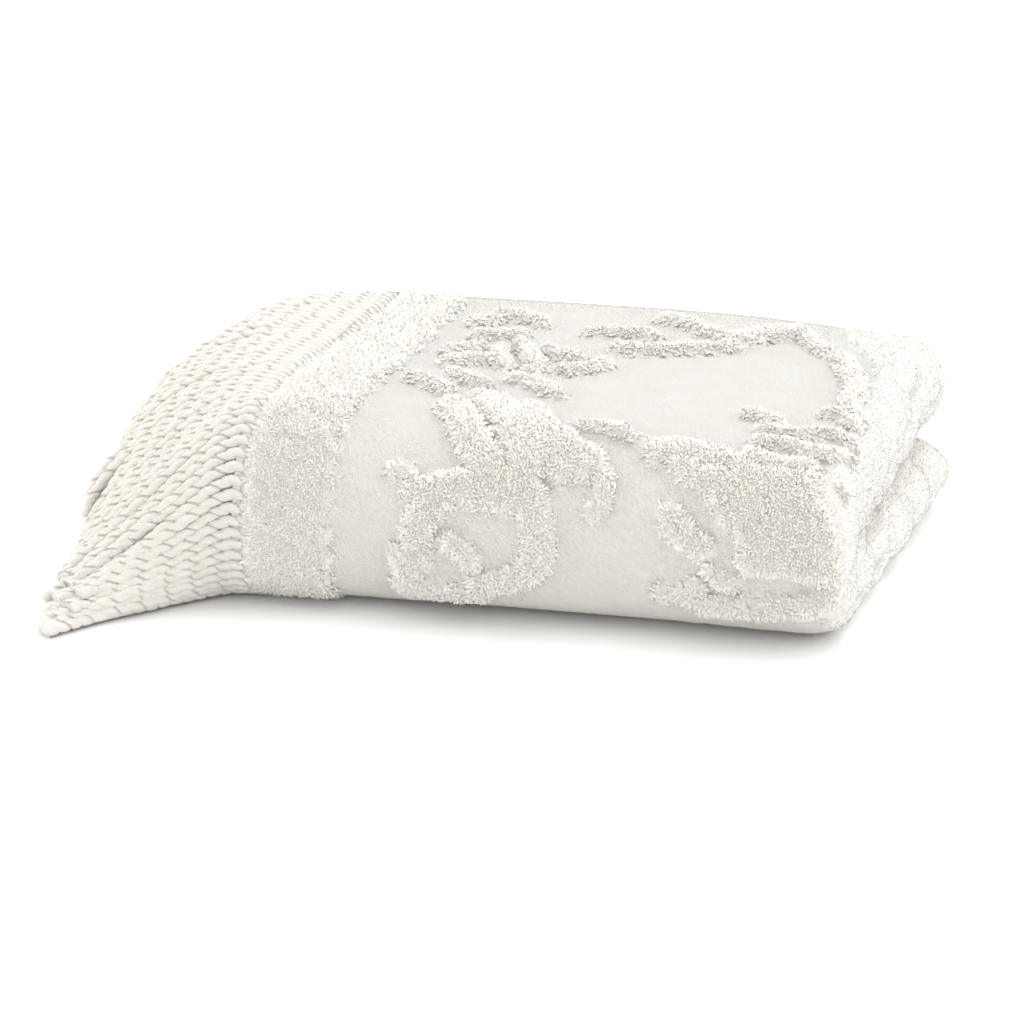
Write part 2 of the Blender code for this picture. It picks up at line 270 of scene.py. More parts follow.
# %% Lay out the strokes
Stroke = namedtuple("Stroke", "s t to_s to_t bow half_width")
STROKES = [Stroke(*row) for row in (
    # the spray of small tufts at the left of the upper face
    (75, 54, 88, 46, 2, 4), (90, 32, 121, 45, -3, 5), (88, 84, 113, 76, 3, 5),
    (78, 127, 96, 113, 2, 5), (85, 153, 110, 139, -3, 5), (109, 111, 124, 150, 3, 4),
    (120, 97, 142, 151, -3, 5), (139, 103, 164, 117, 2, 4), (160, 148, 182, 126, 4, 5),
    (76, 204, 102, 221, -3, 5), (96, 180, 118, 195, 2, 5), (124, 226, 141, 230, 2, 5),
    (136, 176, 172, 209, -4, 5),
    # the row across the middle of the upper face
    (157, 60, 199, 57, -3, 4), (185, 89, 223, 84, 3, 5), (199, 19, 224, 31, -2, 5),
    (227, 35, 254, 50, 2, 5), (228, 81, 256, 68, 3, 5),
    # the long arc at the right
    (257, 50, 290, 21, -4, 9), (291, 14, 324, 60, 3, 5), (328, 65, 355, 154, -3, 6),
    (355, 160, 367, 221, 2, 6),
    # the cluster that runs over the front edge at the right
    (299, 225, 323, 239, -3, 4), (316, 254, 344, 258, 2, 4), (317, 278, 348, 282, -3, 4),
    (316, 292, 352, 297, 3, 5), (346, 254, 375, 252, -2, 4), (353, 284, 380, 272, 2, 4),
    (348, 207, 371, 203, 2, 4), (259, 296, 291, 298, -3, 8), (274, 305, 303, 311, 3, 7),
    (296, 294, 317, 303, 2, 6), (300, 316, 309, 336, 2, 5), (306, 316, 355, 310, -3, 9),
    (320, 323, 340, 350, 3, 13), (346, 321, 369, 344, -3, 11), (342, 330, 355, 346, 0, 7),
    (272, 336, 292, 352, 2, 7), (326, 358, 376, 364, -4, 9), (268, 387, 290, 379, 3, 5),
    (299, 367, 312, 375, 2, 4), (292, 392, 376, 384, 4, 7), (378, 305, 384, 309, 1, 2),
    # the bar beside the stem
    (201, 278, 233, 280, -2, 4), (240, 284, 254, 290, 1, 2),
    # the broad stem and its claw
    (115, 251, 156, 317, 3, 10), (137, 240, 177, 311, -3, 12), (163, 248, 201, 311, 3, 10),
    (197, 290, 214, 313, 2, 7), (211, 299, 227, 323, -3, 5), (227, 323, 222, 338, -3, 4),
    # the hook and the ring on the front
    (94, 321, 106, 325, -2, 3), (106, 330, 120, 340, -3, 5), (120, 338, 112, 375, 4, 9),
    (102, 373, 103, 398, -2, 7), (104, 399, 150, 400, 1, 6), (123, 332, 169, 330, -3, 10),
    (176, 325, 188, 348, -3, 9), (188, 350, 184, 375, -3, 9), (184, 379, 150, 390, -2, 7),
    (132, 362, 146, 374, -2, 6),
    # underneath, where the pile is pressed flat, so that no locks are grown
    (90, 500, 160, 560, 14, 12), (160, 560, 110, 640, 14, 12), (200, 520, 260, 600, -12, 12),
    (260, 600, 330, 560, 12, 11), (300, 660, 210, 690, 10, 11), (80, 700, 160, 690, -8, 9),
)]
STROKE_STEPS = 10
PILE_EDGE = 4.0
PILE_ROUNDING = 0.8
RAGGED_EDGE = 0.0016


def stroke_points(stroke):
    """Points along a bowed stroke, in metres."""
    start = np.array((stroke.s, stroke.t))
    end = np.array((stroke.to_s, stroke.to_t))
    run = end - start
    side = np.array((-run[1], run[0])) / np.linalg.norm(run)
    share = np.linspace(0, 1, STROKE_STEPS + 1)[:, None]
    bulge = 4 * share * (1 - share) * stroke.bow
    return (start + run * share + side * bulge) / 1000


def unevenness(s, t):
    """A smooth uneven value about 0, with waves of one to two centimetres."""
    return (
        np.sin(s * 410 + 1.3 * np.sin(t * 230)) * np.sin(t * 370 + 2.0)
        + 0.6 * np.sin(s * 760 + t * 540 + 1.0) * np.sin(t * 690 - s * 310)
    ) / 1.6


def scroll_pile(s, t):
    """Height of the scrolls' pile as a share, 0 on the ground and 1 on top."""
    away = np.full(s.shape, 1.0)
    for stroke in STROKES:
        points = stroke_points(stroke)
        for start, end in zip(points, points[1:]):
            run = end - start
            share = ((s - start[0]) * run[0] + (t - start[1]) * run[1]) / (run @ run)
            share = np.clip(share, 0, 1)
            gap = np.hypot(s - start[0] - share * run[0], t - start[1] - share * run[1])
            away = np.minimum(away, gap - stroke.half_width / 1000)
    away = away + RAGGED_EDGE * unevenness(s, t)
    return smooth(0.5 - away * 1000 / PILE_EDGE / 2) ** PILE_ROUNDING


print(len(STROKES), "strokes, the longest spans %.0f mm" % max(
    np.hypot(stroke.to_s - stroke.s, stroke.to_t - stroke.t) for stroke in STROKES))

# %% [markdown]
# The border is a band of lower pile along the fringed end. The plush is a short, flat pile that
# covers the right end, past the long arc. A wavering line bounds each of them, as a row of tufts
# is never quite straight.

# %% Bound the border and the plush
BAND_END = 0.055
BAND_HEIGHT = 0.62
BAND_WAVER = 0.004
BAND_EDGE = 0.008
ROOTS_LEAST = 0.002
ROOTS_SHOWN = 0.008
ROOTS_FADE = 0.240
ROOTS_EDGE = 0.004


def roots_line(t):
    """How far from the sheet's end the cords come out from under the border's pile."""
    return ROOTS_LEAST + ROOTS_SHOWN * (1 - smooth(t / ROOTS_FADE))


def band_pile(s, t):
    """Height of the border's pile as a share: a band along the fringed end."""
    edge = BAND_END + BAND_WAVER * unevenness(s * 0.2, t) - s
    begun = smooth((s - roots_line(t)) / ROOTS_EDGE + 0.5)
    return BAND_HEIGHT * smooth(edge / BAND_EDGE + 0.5) * begun


PLUSH_EDGE = np.array((
    (0.000, 0.318), (0.060, 0.352), (0.130, 0.366), (0.210, 0.368), (0.300, 0.366),
    (0.400, 0.372), (0.470, 0.378), (0.520, 0.366), (0.800, 0.360),
))
PLUSH_HEIGHT = 0.30
PLUSH_WAVER = 0.004
PLUSH_SOFTNESS = 0.010


def plush_pile(s, t):
    """Height of the short plush as a share: all of the right end, past the long arc."""
    edge = np.interp(t, PLUSH_EDGE[:, 0], PLUSH_EDGE[:, 1]) + PLUSH_WAVER * unevenness(s, t)
    return PLUSH_HEIGHT * smooth((s - edge) / PLUSH_SOFTNESS + 0.5)


print("the border is %.0f mm wide" % (BAND_END * 1000))

# %% [markdown]
# ## The cloth
#
# The cloth is one thin, closed sheet that lies in all its folds. Its grid is fine where the outer
# layer shows and coarse inside the stack. The outer face is lowered a little to leave room for the
# pile, and swells softly under each stroke, as the tufts' roots push the cloth up. The listed
# creases are soft troughs in the same face, and the full right end is puffed unevenly.

# %% Choose the grid lines
FINE = 0.0031
UNDERSIDE = 0.008
COARSE = 0.030


def steps_between(start, end, size):
    """Even marks after the start, up to and with the end."""
    count = max(1, round((end - start) / size))
    return list(np.linspace(start, end, count + 1)[1:])


def grid_lines(total, quarter, middle, quarter_radius, middle_radius, turned, stretch):
    """Marks across one direction: fine on the outer layer and its bend, coarse inside."""
    bend, inner = pi * quarter_radius / 2, pi * middle_radius / 2
    marks = [0.0] + steps_between(0, quarter - bend, FINE)
    marks += steps_between(quarter - bend, quarter + bend, FINE / stretch)
    marks += steps_between(quarter + bend, middle - inner, turned)
    marks += steps_between(middle - inner, middle + inner, inner / 4)
    marks += steps_between(middle + inner, total - quarter - bend, COARSE)
    marks += steps_between(total - quarter - bend, total - quarter + bend, bend / 6)
    return np.array(marks + steps_between(total - quarter + bend, total, COARSE))


lines_a = grid_lines(LENGTH, LENGTH / 4, LENGTH / 2, radii[2], radii[1], COARSE, END_STRETCH)
lines_b = grid_lines(WIDTH, WIDTH / 4, WIDTH / 2, radii[3], radii[0], UNDERSIDE, FRONT_STRETCH)
print(len(lines_a), "by", len(lines_b), "grid lines")

# %% Shape the outer face
GROUND_INSET = 0.0034
MOUND = 0.0054
LUMPS = 0.0006
PUFFS = 0.0014
PUFFS_START_AT = 0.360
PUFFS_GROW_OVER = 0.040
RIPPLE = 0.0004
HEM = 0.006
FOOT_FADE = 0.030
END_SHOWN_AT = 0.372
END_FADE = 0.020
Crease = namedtuple("Crease", "s t to_s to_t half_width depth")
CREASES = (
    Crease(0.380, 0.030, 0.402, 0.098, 0.0050, 0.0040),
    Crease(0.398, 0.098, 0.412, 0.150, 0.0045, 0.0025),
    Crease(0.350, 0.120, 0.392, 0.190, 0.0060, 0.0020),
    Crease(0.452, 0.700, 0.402, 0.668, 0.0055, 0.0040),
    Crease(0.448, 0.648, 0.430, 0.606, 0.0050, 0.0035),
    Crease(0.448, 0.585, 0.424, 0.500, 0.0055, 0.0035),
    Crease(0.418, 0.566, 0.398, 0.516, 0.0050, 0.0030),
    Crease(0.400, 0.420, 0.392, 0.480, 0.0060, 0.0025),
    Crease(0.235, 0.150, 0.320, 0.170, 0.016, 0.0012),
    Crease(0.060, 0.270, 0.085, 0.400, 0.012, 0.0018),
    Crease(0.236, 0.300, 0.250, 0.430, 0.018, 0.0016),
    Crease(0.120, 0.425, 0.300, 0.436, 0.012, 0.0014),
)
FOOT_T = FLAT_T + FRONT_FACE


def creasing(s, t):
    """Depth of the listed creases."""
    depth = np.zeros(s.shape)
    for crease in CREASES:
        run = np.array((crease.to_s - crease.s, crease.to_t - crease.t))
        share = ((s - crease.s) * run[0] + (t - crease.t) * run[1]) / (run @ run)
        held = np.clip(share, 0, 1)
        gap = np.hypot(s - crease.s - held * run[0], t - crease.t - held * run[1])
        depth = depth + crease.depth * np.exp(-(gap / crease.half_width) ** 2)
    return depth


def outer_height(a, b, pile):
    """Height of the outer face over the sheet's own, for its first quarter."""
    s, t = outer_s(a), outer_t(b)
    front = 1 - smooth((t - FOOT_T + FOOT_FADE) / FOOT_FADE)
    shown = np.maximum(front, smooth((s - END_SHOWN_AT) / END_FADE))
    ends = smooth(s / HEM) * smooth(t / HEM)
    ripple = RIPPLE * unevenness(s * 0.7, t * 0.7)
    lumps = LUMPS * pile * np.sin(s * 900 + 2 * np.sin(t * 310)) * np.sin(t * 820 + s * 260)
    puffed = PUFFS * smooth((s - PUFFS_START_AT) / PUFFS_GROW_OVER)
    puffs = puffed * unevenness(s * 0.55 + 0.02, t * 0.55)
    lift = MOUND * pile + lumps + ripple + puffs - creasing(s, t) - GROUND_INSET
    return lift * shown * ends


def pile_at(a, b):
    """The three kinds of pile at places on the sheet's outer face."""
    s, t = outer_s(a), outer_t(b)
    return scroll_pile(s, t), band_pile(s, t), plush_pile(s, t)


grid_a, grid_b = np.meshgrid(lines_a, lines_b, indexing="ij")
outside = smooth((WIDTH / 2 - 0.006 - grid_b) / 0.010)
outside = outside * (1 - smooth((grid_a - LENGTH / 4 - 0.014) / 0.018))
scroll_share, band_share, plush_share = (share * outside for share in pile_at(grid_a, grid_b))
pile_share = np.maximum(np.maximum(scroll_share, band_share), plush_share)
lift = outer_height(grid_a, grid_b, pile_share) * outside
upper = laid(grid_a, grid_b, CLOTH / 2 + lift)
lower = laid(grid_a, grid_b, -CLOTH / 2)
covered = (scroll_share[outside > 0.5] > 0.3).mean()
print("scrolls cover %.0f %% of the outer face" % (100 * covered))


# %% [markdown]
# Two grids of points, one for each face, become one closed mesh: the quads of the upper face, the
# same quads turned round for the lower face, and a rim that joins them. Folding turns a shape into
# its mirror image, so the faces are listed for the folded shape, and the volume's sign is printed
# to prove it. The lengths over the outer face go into a UV map in metres, for the weave.

# %% Build the cloth's mesh
def slab_faces(rows, columns):
    """Quads of a closed slab whose points are the upper grid, then the lower one."""
    index = np.arange(rows * columns).reshape(rows, columns)
    one, two = index[:-1, :-1], index[1:, :-1]
    three, four = index[1:, 1:], index[:-1, 1:]
    top = np.stack([one, four, three, two], axis=-1).reshape(-1, 4)
    bottom = top[:, ::-1] + rows * columns
    rim = np.concatenate([index[:, 0], index[-1, 1:], index[-2::-1, -1], index[0, -2:0:-1]])
    after = np.roll(rim, -1)
    sides = np.stack([rim, rim + rows * columns, after + rows * columns, after], axis=-1)
    return np.concatenate([top, bottom, sides[:, ::-1]])


def volume_of(mesh):
    """Signed volume of a closed mesh in cubic centimetres."""
    mesh.calc_loop_triangles()
    points = np.array([vert.co[:] for vert in mesh.vertices])
    corners = np.array([tri.vertices[:] for tri in mesh.loop_triangles])
    one, two, three = (points[corners[:, i]] for i in range(3))
    return (one * np.cross(two, three)).sum() / 6 * 1e6


def mesh_from(name, points, faces, uv=None):
    """A smooth mesh of the points and faces, with a UV pair for each point if given."""
    mesh = bpy.data.meshes.new(name)
    mesh.from_pydata(points.tolist(), [], faces.tolist())
    if uv is not None:
        corner_points = np.zeros(len(mesh.loops), np.int32)
        mesh.loops.foreach_get("vertex_index", corner_points)
        layer = mesh.uv_layers.new(name="sheet")
        layer.data.foreach_set("uv", uv[corner_points].astype(np.float32).ravel())
    mesh.shade_smooth()
    return mesh


def add_share(mesh, name, values):
    """Store one number for each point."""
    layer = mesh.attributes.new(name, "FLOAT", "POINT")
    layer.data.foreach_set("value", values.astype(np.float32))


rows, columns = grid_a.shape
cloth_points = np.concatenate([upper.reshape(-1, 3), lower.reshape(-1, 3)])
face_uv = np.stack([outer_s(grid_a), outer_t(grid_b)], axis=-1)
cloth_uv = np.concatenate([face_uv.reshape(-1, 2), face_uv.reshape(-1, 2)])
cloth_mesh = mesh_from("throw_cloth", cloth_points, slab_faces(rows, columns), cloth_uv)
add_share(cloth_mesh, "pile", np.concatenate([pile_share.ravel(), 0 * pile_share.ravel()]))
print("cloth: %d points, volume %.0f cm3" % (len(cloth_points), volume_of(cloth_mesh)))

# %% [markdown]
# ## Cotton for the ground, the pile and the cords
#
# All the finishes are the same warm white cotton, and differ in how light meets them. The ground
# is a crepe twill: faint slanting ribs, broken up by a small crinkle, and plain where pile covers
# it. Among the roots of deep pile its colour is painted darker, as painted shade where little light
# comes. The pile is cut yarn, so it is softer, and shows no ribs. The short plush lies flat and
# catches more light than standing pile, so its tints are painted a little darker, as painted shade.
# The cords show their fibres along the twist; their tints are a little darker than the ground's,
# partly their own tone and partly painted shade of their grooves. A small amount of sheen gives all
# of them the soft rim that cotton has. In yarn, light also passes from fibre to fibre, so half of
# the light that meets the pile and the cords spreads a millimetre or two inside them before it
# leaves, which fills their narrow gaps.

# %% Helpers for node trees
def add_node(tree, kind, inputs=None, **settings):
    """A node with these properties, each of its inputs linked to a socket or set to a value."""
    node = tree.nodes.new(kind)
    for key, value in settings.items():
        setattr(node, key, value)
    for key, value in (inputs or {}).items():
        if isinstance(value, bpy.types.NodeSocket):
            tree.links.new(value, node.inputs[key])
        else:
            node.inputs[key].default_value = value
    return node


def reckoned(tree, operation, *values, **settings):
    """The result of a Math node on these values or sockets."""
    inputs = dict(enumerate(values))
    return add_node(tree, "ShaderNodeMath", inputs, operation=operation, **settings).outputs[0]


# %% Helpers for materials
SHEEN = 0.2
YARN_SHARE = 0.5
YARN_COLOURS = (1.0, 0.9, 0.75)


def cotton(name, colour, roughness, depth=0.0):
    """A cotton material, its tree, and its shader. Light spreads through it as far as its depth."""
    material = bpy.data.materials.new(name)
    material.use_nodes = True
    tree = material.node_tree
    shader = tree.nodes["Principled BSDF"]
    shader.subsurface_method = "BURLEY"
    for title, value in (
        ("Base Color", (*colour, 1)),
        ("Roughness", roughness),
        ("Sheen Weight", SHEEN),
        ("Sheen Roughness", 0.6),
        ("Specular IOR Level", 0.15),
        ("Subsurface Weight", YARN_SHARE if depth else 0.0),
        ("Subsurface Radius", YARN_COLOURS),
        ("Subsurface Scale", depth),
    ):
        shader.inputs[title].default_value = value
    return material, tree, shader


def tinted(tree, shader, source, light, dark, high=0.65):
    """Colour the shader between two tints by a value from 0 to 1."""
    ramp = add_node(tree, "ShaderNodeValToRGB", {"Fac": source})
    for element, position, colour in zip(ramp.color_ramp.elements, (0.35, high), (dark, light)):
        element.position = position
        element.color = (*colour, 1)
    tree.links.new(ramp.outputs["Color"], shader.inputs["Base Color"])
    return ramp.outputs["Color"]


def bumped(tree, shader, height, distance):
    """Raise the shader's surface by a height."""
    bump = add_node(tree, "ShaderNodeBump", {"Height": height, "Distance": distance})
    tree.links.new(bump.outputs["Normal"], shader.inputs["Normal"])


# %% The ground: crepe twill
GROUND_LIGHT = (0.872, 0.852, 0.803)
GROUND_DARK = (0.846, 0.824, 0.770)
# The next colour is painted shade: the ground among the roots of deep pile, where little light
# comes.
ROOT_SHADE_COLOUR = (0.705, 0.688, 0.650)
RIB_ANGLE = radians(38)
RIB_SCALE = 185.0
RIB_SHARE = 0.12
CREPE_HEIGHT = 0.0034
COVERING = -3.3
ROOT_SHADE_FROM = 1.3
ground, tree, shader = cotton("crepe_ground", GROUND_LIGHT, 0.92)
lengths = add_node(tree, "ShaderNodeUVMap", uv_map="sheet").outputs["UV"]
turned = add_node(tree, "ShaderNodeMapping", {"Vector": lengths, "Rotation": (0, 0, RIB_ANGLE)})
ribs = add_node(tree, "ShaderNodeTexWave", {
    "Vector": turned.outputs["Vector"], "Scale": RIB_SCALE, "Distortion": 7.0, "Detail": 2.0,
    "Detail Scale": 1.5,
}).outputs["Fac"]
crinkle = add_node(tree, "ShaderNodeTexNoise", {
    "Vector": lengths, "Scale": 460.0, "Detail": 4.0, "Roughness": 0.65}).outputs["Fac"]
patches = add_node(tree, "ShaderNodeTexNoise", {
    "Vector": lengths, "Scale": 38.0, "Detail": 2.0}).outputs["Fac"]
pile = add_node(tree, "ShaderNodeAttribute", attribute_name="pile").outputs["Fac"]
weave = tinted(tree, shader, patches, GROUND_LIGHT, GROUND_DARK)
uncovered = reckoned(tree, "MULTIPLY_ADD", pile, COVERING, 1.0, use_clamp=True)
# Painted shade: the deeper the pile, the more the ground's colour is mixed towards the dark root
# colour.
free_of_root_shade = reckoned(tree, "MULTIPLY_ADD", pile, COVERING, ROOT_SHADE_FROM, use_clamp=True)
root_shaded = add_node(tree, "ShaderNodeMix", {
    0: free_of_root_shade, 6: (*ROOT_SHADE_COLOUR, 1), 7: weave}, data_type="RGBA")
tree.links.new(root_shaded.outputs[2], shader.inputs["Base Color"])
relief = reckoned(tree, "MULTIPLY_ADD", ribs, RIB_SHARE, crinkle)
bumped(tree, shader, reckoned(tree, "MULTIPLY", relief, uncovered), CREPE_HEIGHT)
cloth_mesh.materials.append(ground)
print("ground ribs every %.1f mm" % (1000 * 2 * pi / 20 / RIB_SCALE))

# %% The pile and the plush
PILE_LIGHT = (0.830, 0.815, 0.780)
PILE_DARK = (0.802, 0.784, 0.743)
# The plush's tints are painted shade: darker than the pile's, because its flat locks catch more
# light.
PLUSH_LIGHT = (0.722, 0.714, 0.694)
PLUSH_DARK = (0.700, 0.690, 0.666)
PILE_DEPTH = 0.0020


def pile_finish(name, light, dark):
    """Cut yarn: a soft material in two tints, with the yarns' ends as small unevenness."""
    material, tree, shader = cotton(name, light, 0.95, PILE_DEPTH)
    where = add_node(tree, "ShaderNodeTexCoord").outputs["Object"]
    yarns = add_node(tree, "ShaderNodeTexNoise", {"Vector": where, "Scale": 240.0, "Detail": 3.0})
    tinted(tree, shader, yarns.outputs["Fac"], light, dark)
    bumped(tree, shader, yarns.outputs["Fac"], 0.0004)
    return material


pile_cotton = pile_finish("cut_pile", PILE_LIGHT, PILE_DARK)
plush_shaded_cotton = pile_finish("short_plush", PLUSH_LIGHT, PLUSH_DARK)

# %% The cords
# The cords' tints are darker than the ground's: partly their own tone, partly painted shade of the
# grooves between plies and cords.
CORD_LIGHT = (0.712, 0.698, 0.668)
CORD_DARK = (0.684, 0.667, 0.628)
CORD_DEPTH = 0.0016
cord_cotton, tree, shader = cotton("twisted_cord", CORD_LIGHT, 0.9, CORD_DEPTH)
where = add_node(tree, "ShaderNodeAttribute", attribute_name="along_and_round").outputs["Vector"]
fibres = add_node(tree, "ShaderNodeTexWave", {
    "Vector": where, "Scale": 1.0, "Distortion": 2.5, "Detail": 2.0}, bands_direction="Y")
spots = add_node(tree, "ShaderNodeTexNoise", {"Vector": where, "Scale": 0.6, "Detail": 3.0})
tinted(tree, shader, spots.outputs["Fac"], CORD_LIGHT, CORD_DARK, 0.7)
bumped(tree, shader, fibres.outputs["Fac"], 0.00015)
print("finishes:", [material.name for material in (ground, pile_cotton, plush_shaded_cotton, cord_cotton)])

# %% [markdown]
# ## Tufts
#
# A tuft is a short lock of cut yarn, fat in the middle and blunt at its tip. Tens of thousands
# of them stand on the bordered and stroked places, so Geometry Nodes scatter them: points are
# spread evenly over a bed cut out of the cloth's outer face, as thick as the pile share says, each
# gets a lock turned along the face's normal, combed outwards at the edges, with a random lean, and
# a little longer at an edge than in the middle. The result is made a plain mesh. The bed itself
# isn't kept, because the cloth is already there.
#
# Light passes round and through real fibres, so a pile looks softer than its separate locks would.
# Each lock's normals are therefore drawn most of the way to the normal of the cloth under it.

# %% Model one lock
LOCK_LENGTH = 0.0030
LOCK_RADIUS = 0.00070
LOCK_SIDES = 3
LockRing = namedtuple("LockRing", "height aside radius")
LOCK_RINGS = (LockRing(-0.30, 0.0, 0.90), LockRing(0.42, 0.08, 1.05))
LOCK_TIP = LockRing(0.80, 0.20, 0.0)


def make_lock():
    """One lock of yarn along Z, a little bent, blunt, and closed at both ends."""
    points, faces = [], []
    for ring in LOCK_RINGS:
        for side in range(LOCK_SIDES):
            angle = 2 * pi * side / LOCK_SIDES
            points.append((
                LOCK_RADIUS * ring.radius * np.cos(angle) + LOCK_LENGTH * ring.aside,
                LOCK_RADIUS * ring.radius * np.sin(angle),
                LOCK_LENGTH * ring.height,
            ))
    for ring in range(len(LOCK_RINGS) - 1):
        for side in range(LOCK_SIDES):
            one, two = ring * LOCK_SIDES + side, ring * LOCK_SIDES + (side + 1) % LOCK_SIDES
            faces.append((one, two, two + LOCK_SIDES, one + LOCK_SIDES))
    last = (len(LOCK_RINGS) - 1) * LOCK_SIDES
    points.append((LOCK_LENGTH * LOCK_TIP.aside, 0.0, LOCK_LENGTH * LOCK_TIP.height))
    for side in range(LOCK_SIDES):
        faces.append((last + side, last + (side + 1) % LOCK_SIDES, len(points) - 1))
    faces.append(tuple(reversed(range(LOCK_SIDES))))
    mesh = bpy.data.meshes.new("lock")
    mesh.from_pydata(points, [], faces)
    mesh.shade_smooth()
    return placed("lock", mesh)


lock = make_lock()
lock_height = LOCK_LENGTH * (LOCK_TIP.height - LOCK_RINGS[0].height)
print("a lock has %d faces and is %.1f mm long" % (len(lock.data.polygons), 1000 * lock_height))


# %% [markdown]
# The tree below is written once for all three kinds of pile, and built twice, because the plush
# has a finish of its own, with tints painted darker as painted shade. Its inputs are named for what
# they do, so that the border can stand shorter than the scrolls, and the plush shorter still.

# %% Helpers for geometry trees
def begin_tree(name, sockets):
    """A geometry tree with these inputs besides the geometry, and its input sockets."""
    tree = bpy.data.node_groups.new(name, "GeometryNodeTree")
    tree.interface.new_socket("Geometry", in_out="INPUT", socket_type="NodeSocketGeometry")
    for title, kind, value in sockets:
        socket = tree.interface.new_socket(title, in_out="INPUT", socket_type="NodeSocket" + kind)
        if value is not None:
            socket.default_value = value
    tree.interface.new_socket("Geometry", in_out="OUTPUT", socket_type="NodeSocketGeometry")
    return tree, tree.nodes.new("NodeGroupInput").outputs


def end_tree(tree, geometry, material):
    """Set the material and hand the geometry out."""
    paint = add_node(tree, "GeometryNodeSetMaterial", {"Geometry": geometry, "Material": material})
    add_node(tree, "NodeGroupOutput", {"Geometry": paint.outputs["Geometry"]})
    return tree


def stored(tree, name, kind):
    """The values of an attribute that the geometry carries."""
    node = add_node(tree, "GeometryNodeInputNamedAttribute", {"Name": name}, data_type=kind)
    return node.outputs["Attribute"]


def summed(tree, one, two):
    """The sum of two vectors."""
    return add_node(tree, "ShaderNodeVectorMath", {0: one, 1: two}, operation="ADD").outputs[0]


# %% Build the tufting tree
EDGE_SCALE = 1.2
MIDDLE_LOSS = -0.3


def tufting_tree(name, material):
    """Scatter locks over a mesh whose points carry a share called pile."""
    tree, given = begin_tree(name, (
        ("Lock", "Object", None), ("Spacing", "Float", 0.0015), ("Density", "Float", 400000.0),
        ("Lean", "Float", 0.6), ("Shortest", "Float", 0.7), ("Longest", "Float", 1.2),
        ("Softness", "Float", 0.6), ("Seed", "Int", 4),
    ))
    share = stored(tree, "pile", "FLOAT")
    spread = add_node(tree, "GeometryNodeDistributePointsOnFaces", {
        "Mesh": given["Geometry"], "Distance Min": given["Spacing"], "Seed": given["Seed"],
        "Density Max": given["Density"], "Density Factor": share,
    }, distribute_method="POISSON").outputs
    shake = add_node(tree, "FunctionNodeRandomValue", {
        0: (-1, -1, -1), 1: (1, 1, 1), "Seed": given["Seed"]}, data_type="FLOAT_VECTOR")
    leaning = add_node(tree, "ShaderNodeVectorMath", {
        0: shake.outputs[0], "Scale": given["Lean"]}, operation="SCALE")
    drawn = summed(tree, leaning.outputs[0], stored(tree, "comb", "FLOAT_VECTOR"))
    aim = summed(tree, drawn, spread["Normal"])
    stand = add_node(tree, "FunctionNodeAlignRotationToVector", {"Vector": aim}, axis="Z")
    spin = add_node(tree, "FunctionNodeRandomValue", {
        3: 2 * pi, "Seed": given["Seed"]}, data_type="FLOAT")
    about = add_node(tree, "FunctionNodeAxisAngleToRotation", {"Angle": spin.outputs[1]})
    turn = add_node(tree, "FunctionNodeRotateRotation", {
        0: stand.outputs[0], 1: about.outputs[0]}, rotation_space="LOCAL")
    size = add_node(tree, "FunctionNodeRandomValue", {
        2: given["Shortest"], 3: given["Longest"], "Seed": given["Seed"]}, data_type="FLOAT")
    thinner = reckoned(tree, "MULTIPLY_ADD", share, MIDDLE_LOSS, EDGE_SCALE)
    full = reckoned(tree, "MULTIPLY", size.outputs[1], thinner)
    source = add_node(tree, "GeometryNodeObjectInfo", {
        "Object": given["Lock"]}, transform_space="ORIGINAL")
    under = add_node(tree, "GeometryNodeStoreNamedAttribute", {
        "Geometry": spread["Points"], "Name": "under", "Value": spread["Normal"],
    }, data_type="FLOAT_VECTOR")
    plant = add_node(tree, "GeometryNodeInstanceOnPoints", {
        "Points": under.outputs["Geometry"], "Instance": source.outputs["Geometry"],
        "Rotation": turn.outputs[0], "Scale": full,
    })
    real = add_node(tree, "GeometryNodeRealizeInstances", {"Geometry": plant.outputs["Instances"]})
    blend = add_node(tree, "ShaderNodeMix", {
        0: given["Softness"], 4: add_node(tree, "GeometryNodeInputNormal").outputs["Normal"],
        5: stored(tree, "under", "FLOAT_VECTOR"),
    }, data_type="VECTOR")
    ease = add_node(tree, "GeometryNodeSetMeshNormal", {
        "Mesh": real.outputs["Geometry"], "Custom Normal": blend.outputs[1]}, mode="FREE")
    bare = add_node(tree, "GeometryNodeRemoveAttribute", {
        "Geometry": ease.outputs["Mesh"], "Name": "under"})
    return end_tree(tree, bare.outputs["Geometry"], material)


tufting = tufting_tree("tufting", pile_cotton)
plush_tufting = tufting_tree("plush_tufting", plush_shaded_cotton)
print("the tufting tree has", len(tufting.nodes), "nodes")


# %% Run a tree and keep its mesh
def socket_names(tree):
    """Each input's title and its identifier."""
    return {
        item.name: item.identifier
        for item in tree.interface.items_tree
        if item.item_type == "SOCKET" and item.in_out == "INPUT"
    }


def grown(name, thing, tree, values):
    """Run a tree on an object with these inputs, and give its result as a plain mesh object."""
    modifier = thing.modifiers.new("grow", "NODES")
    modifier.node_group = tree
    names = socket_names(tree)
    for title, value in values.items():
        modifier[names[title]] = value
    bpy.context.view_layer.update()
    graph = bpy.context.evaluated_depsgraph_get()
    mesh = bpy.data.meshes.new_from_object(thing.evaluated_get(graph))
    mesh.name = name
    bpy.data.objects.remove(thing, do_unlink=True)
    mesh.calc_loop_triangles()
    print(name, len(mesh.loop_triangles), "triangles")
    return placed(name, mesh)


# %% Comb the pile outwards
COMB_SPREAD = 0.005
BORDER_COMB = 1.3
ROOT_COMB_LENGTH = 0.010


